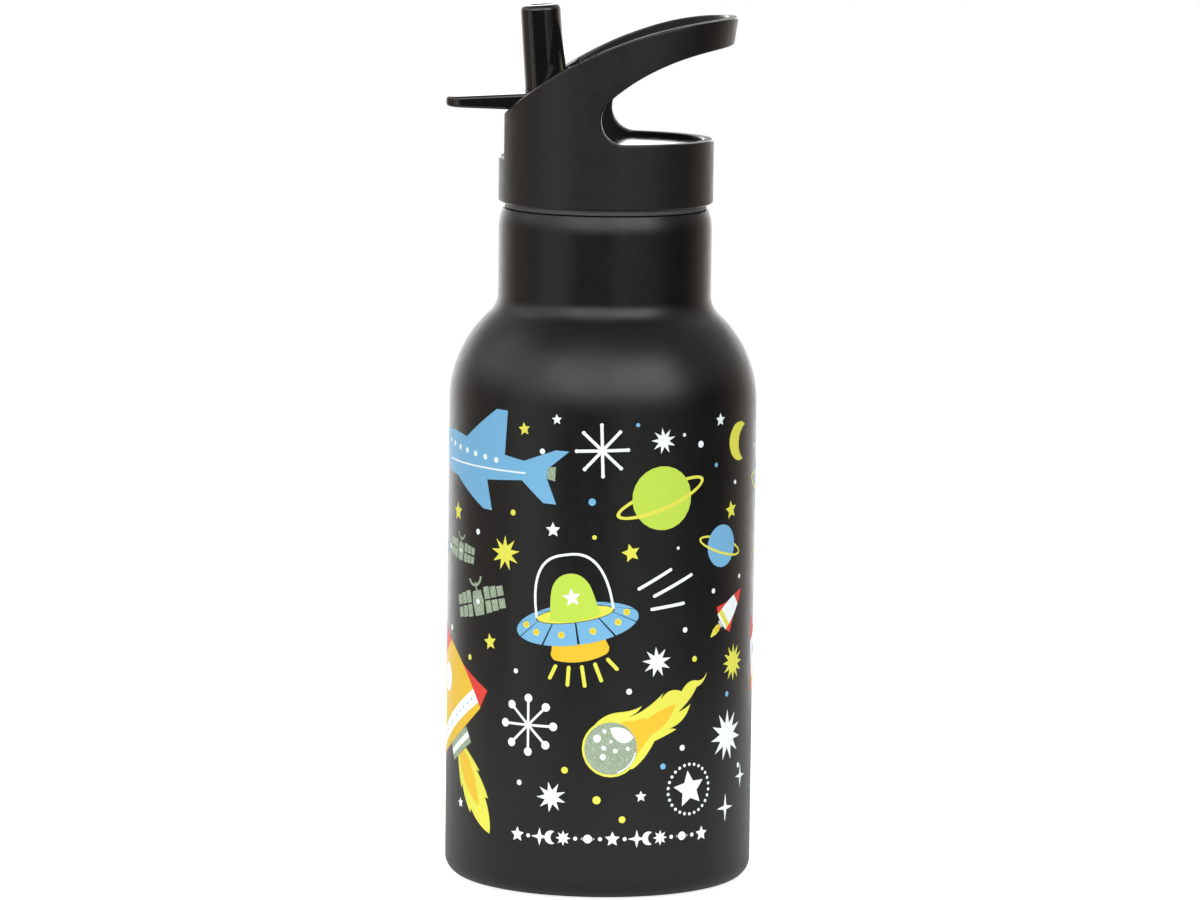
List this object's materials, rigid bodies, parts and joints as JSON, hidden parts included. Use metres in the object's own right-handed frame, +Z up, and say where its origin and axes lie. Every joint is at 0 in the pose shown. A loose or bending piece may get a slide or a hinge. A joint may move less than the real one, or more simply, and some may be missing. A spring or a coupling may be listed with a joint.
{
  "type": "kids water bottle",
  "caption": "Slim double-walled steel drinking bottle for children, with a screw lid that has a carrying loop, a flip-up mouthpiece with a thumb tab, and a straw.",
  "frame": {"origin": "centre of the flat base, on the bottle's axis", "axes": "+Z up along the bottle's axis, +X towards the closed end of the lid's carrying loop, -X towards the thumb tab, -Y the side seen from the front"},
  "size_m": [0.0693, 0.068, 0.1935],
  "materials": {
    "powder_coat": "satin black powder coat",
    "stainless_steel": "bare stainless steel, electropolished",
    "tin_solder": "dull solder bead",
    "getter_alloy": "sintered metal pill",
    "grey_silicone": "matte silicone",
    "matte_lid": "fine matte moulded polypropylene",
    "glossy_lid": "high-gloss moulded plastic",
    "straw_plastic": "translucent white straw tube",
    "print_white": "screen-printed white ink on the coat",
    "print_yellow": "screen-printed yellow ink on the coat",
    "print_lime": "screen-printed lime ink on the coat",
    "print_blue": "screen-printed light blue ink on the coat",
    "print_orange": "screen-printed orange ink on the coat",
    "print_red": "screen-printed red ink on the coat",
    "print_silver": "screen-printed grey-green glitter ink on the coat"
  },
  "bodies": {
    "bottle": {"outer_shell": "powder_coat", "base_cap": "powder_coat", "outer_base": "stainless_steel", "inner_liner": "stainless_steel", "liner_bottom": "stainless_steel", "vacuum_seal": "tin_solder", "getter": "getter_alloy"},
    "lid_seal": {"lid_gasket": "grey_silicone"},
    "lid": {"lid_shell": "matte_lid", "lid_core": "glossy_lid", "spout_seal": "grey_silicone", "vent_valve": "grey_silicone", "straw": "straw_plastic"},
    "mouthpiece": {"spout": "glossy_lid"}
  },
  "joints": [
    {"name": "lid_rise", "type": "slide", "parent": "bottle", "child": "lid_seal", "axis": [0, 0, 1], "range_m": [0, 0.0061]},
    {"name": "lid_turn", "type": "hinge", "parent": "lid_seal", "child": "lid", "pos_m": [0, 0, 0.15], "axis": [0, 0, 1], "range_deg": [0, 540]},
    {"name": "spout_flip", "type": "hinge", "parent": "lid", "child": "mouthpiece", "pos_m": [-0.0131, 0, 0.1696], "axis": [0, 1, 0], "range_deg": [0, 94]}
  ],
  "couplings": [
    {"joint": "lid_rise", "follows": "lid_turn", "m_per_rad": 0.00063662}
  ]
}
